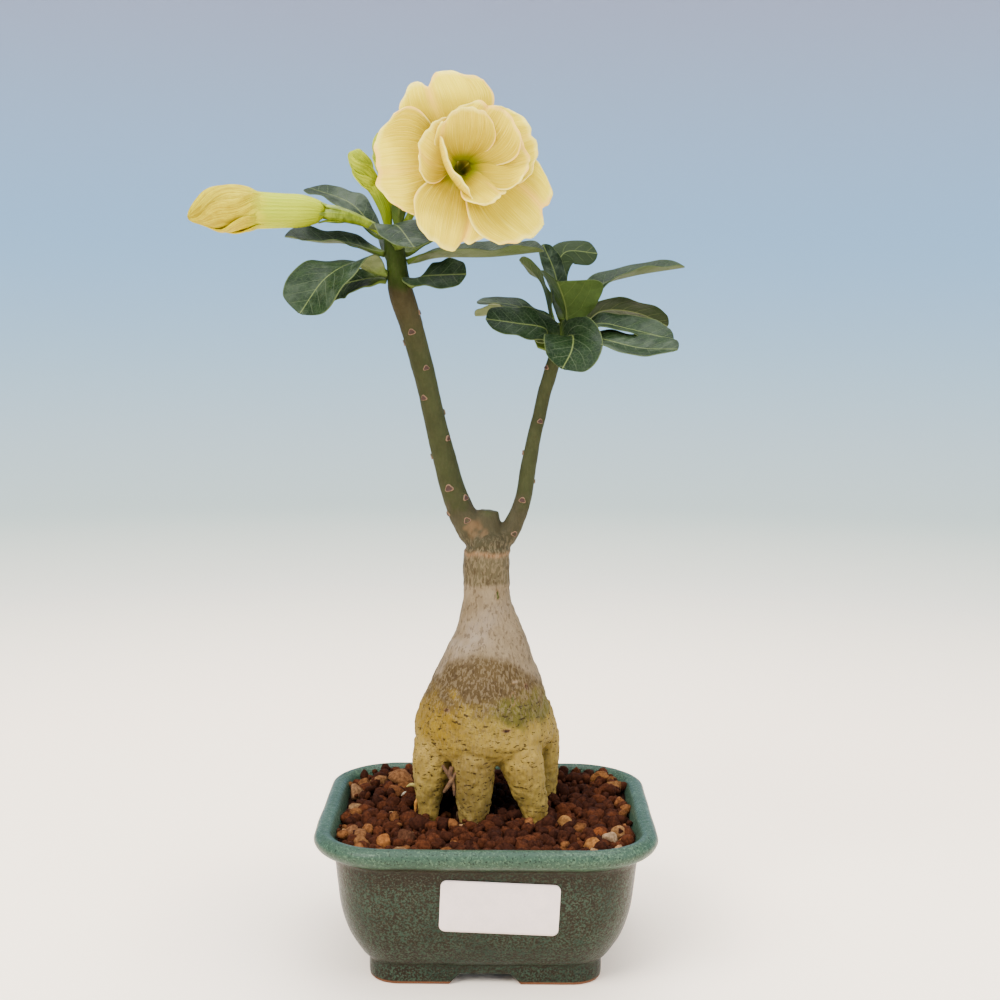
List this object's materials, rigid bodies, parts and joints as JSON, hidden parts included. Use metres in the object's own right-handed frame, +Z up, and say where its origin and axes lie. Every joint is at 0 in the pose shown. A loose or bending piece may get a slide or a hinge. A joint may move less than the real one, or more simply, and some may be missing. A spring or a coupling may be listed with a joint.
{
  "type": "potted desert rose",
  "caption": "Grafted desert rose with swollen caudex, bare branches, leaf rosettes, a double flower and buds, in a footed glazed pot.",
  "frame": {"origin": "centre of the bounding box, on the surface that the pot stands on", "axes": "+Z up, +X to the viewer's right in the front view, +Y away from the viewer; the label faces -Y"},
  "size_m": [0.1916, 0.121, 0.3443],
  "materials": {
    "green_glaze": "glossy speckled glaze",
    "clay_granules": "rough, dry",
    "bark": "matt skin",
    "dry_root": "dry",
    "leaf": "waxy",
    "petal": "soft satin",
    "stalk": "satin",
    "label_paper": "coated paper"
  },
  "bodies": {
    "root": {"bloom": "petal", "dried_rootlets": "dry_root", "flower_stalk": "stalk", "label": "label_paper", "large_bud": "petal", "large_bud_stalk": "stalk", "left_leaf_back": "leaf", "left_leaf_back_upper": "leaf", "left_leaf_behind_flower": "leaf", "left_leaf_drooping": "leaf", "left_leaf_front": "leaf", "left_leaf_long": "leaf", "left_leaf_round": "leaf", "left_leaf_side": "leaf", "left_leaf_side_lower": "leaf", "left_young_leaf_1": "leaf", "left_young_leaf_2": "leaf", "plant_body": "bark", "pot": "green_glaze", "right_leaf_back_narrow": "leaf", "right_leaf_back_raised": "leaf", "right_leaf_front_upright": "leaf", "right_leaf_hanging_round": "leaf", "right_leaf_left_back": "leaf", "right_leaf_left_curled": "leaf", "right_leaf_left_dark": "leaf", "right_leaf_long_raised": "leaf", "right_leaf_side_dark": "leaf", "right_leaf_side_glossy": "leaf", "right_leaf_side_veined": "leaf", "right_leaf_upright": "leaf", "right_young_leaf": "leaf", "small_bud_back": "stalk", "small_bud_front": "stalk", "soil": "clay_granules"}
  },
  "joints": []
}
